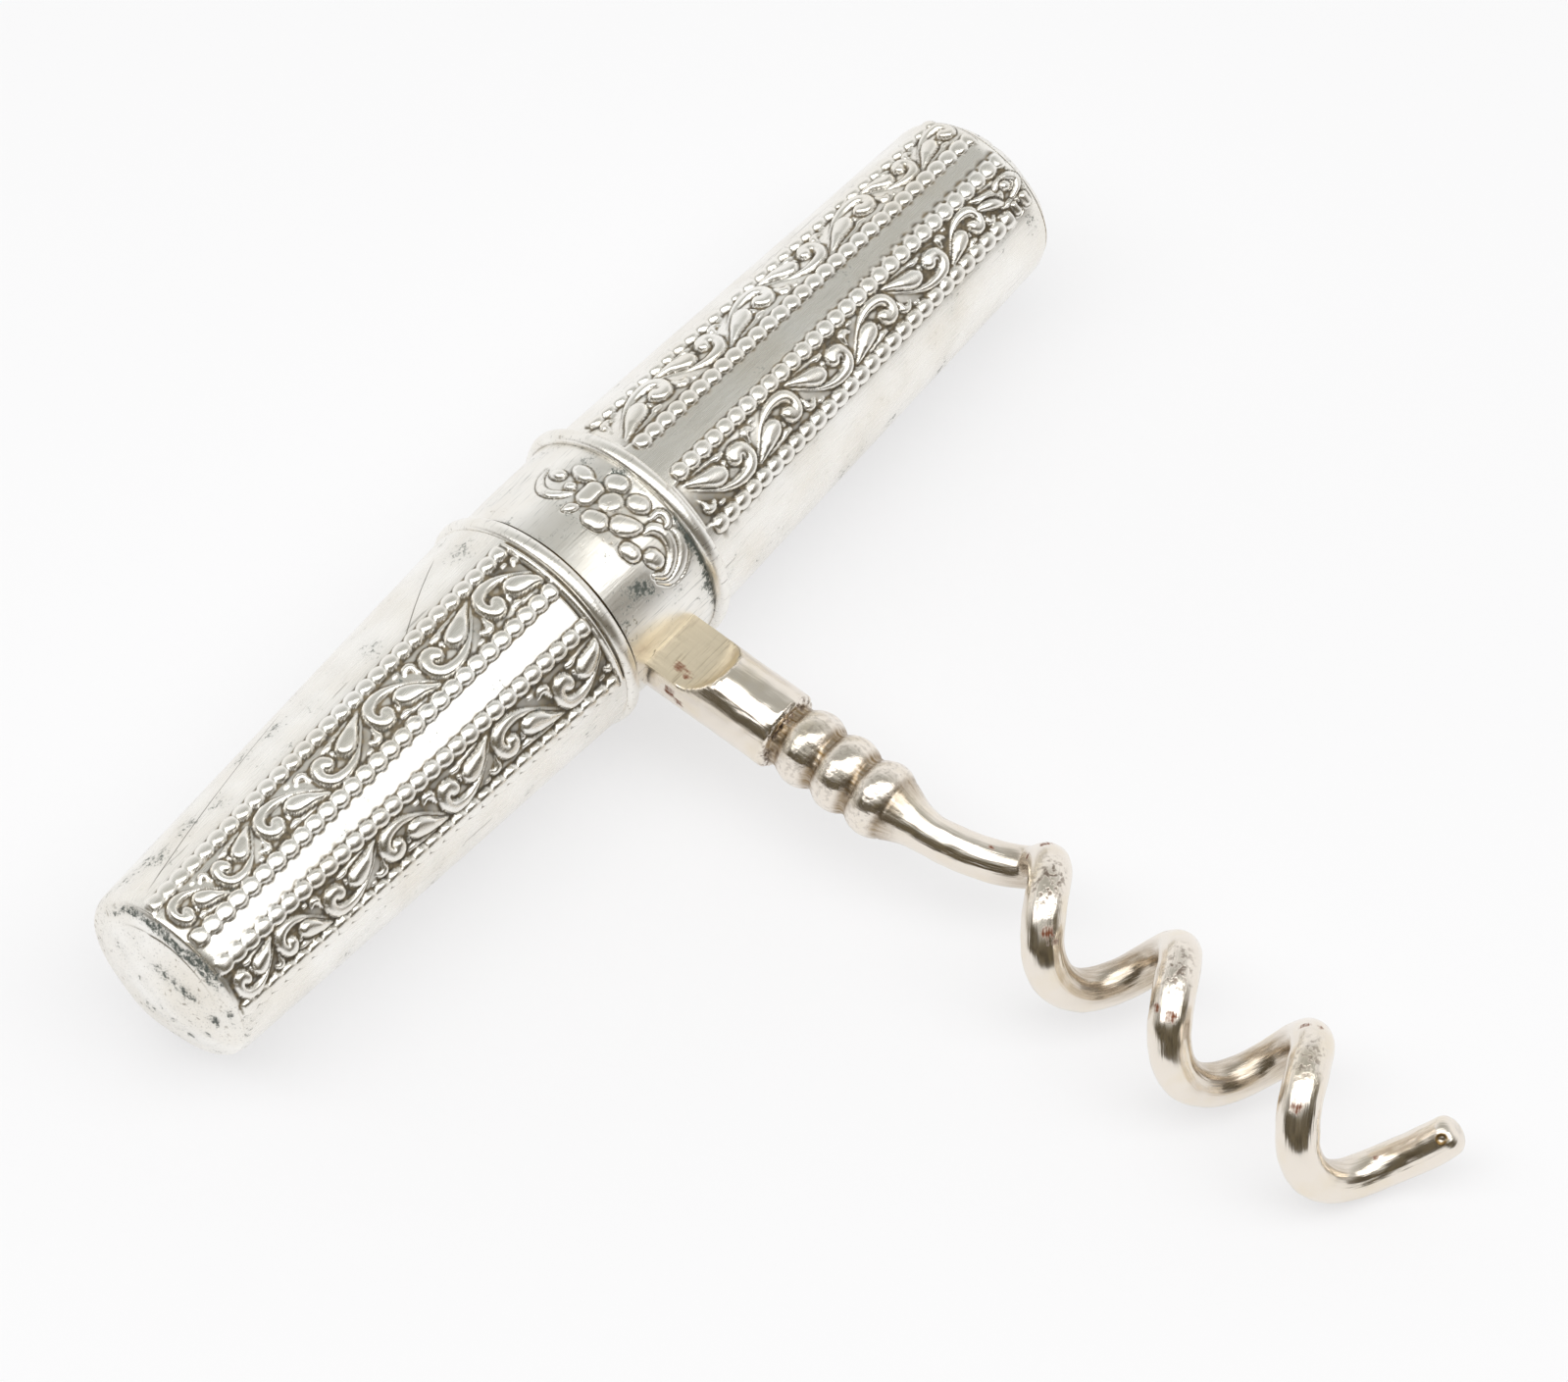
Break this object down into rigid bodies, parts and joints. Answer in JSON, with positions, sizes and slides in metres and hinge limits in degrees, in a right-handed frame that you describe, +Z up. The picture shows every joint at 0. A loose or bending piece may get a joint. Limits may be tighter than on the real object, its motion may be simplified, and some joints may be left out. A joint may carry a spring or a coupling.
{
  "type": "folding corkscrew",
  "caption": "Pocket corkscrew with a tapered two-piece silver case as its T handle; the case pulls open and the worm folds into line with it.",
  "frame": {"origin": "on the table the tool lies on, below the middle of its outline seen from above", "axes": "+X along the case towards its fixed half, -Y the way the worm points, +Z up from the table"},
  "size_m": [0.08, 0.0734, 0.0162],
  "materials": {
    "silver": "hand-polished sterling silver with die-struck scroll bands, tarnished dark in its recesses",
    "worm_steel": "nickel-plated forged steel, plating dulled, pitted and rusting in places",
    "tube_brass": "drawn brass tube, dull and darkened",
    "hinge_steel": "filed steel, browned by age"
  },
  "bodies": {
    "fixed_half": {"right_shell": "silver", "right_rim_ring": "silver", "right_end_cap": "silver", "collar_band": "silver", "spigot_tube": "tube_brass", "guide_sleeve": "tube_brass", "stop_ring": "hinge_steel", "hinge_block": "hinge_steel", "pivot_pin": "hinge_steel"},
    "pull_off_half": {"left_shell": "silver", "left_rim_ring": "silver", "left_end_cap": "silver", "socket_lining": "tube_brass"},
    "worm": {"worm": "worm_steel"}
  },
  "joints": [
    {"name": "pull_off_slide", "type": "slide", "parent": "fixed_half", "child": "pull_off_half", "axis": [-1, 0, 0], "range_m": [0, 0.07]},
    {"name": "worm_fold", "type": "hinge", "parent": "fixed_half", "child": "worm", "pos_m": [-0.00105, 0.02873, 0.0081], "axis": [0, 0.0564, -0.9984], "range_deg": [0, 90]}
  ],
  "couplings": [
    {"joint": "worm_fold", "follows": "pull_off_slide", "rad_per_m": 22.439}
  ]
}
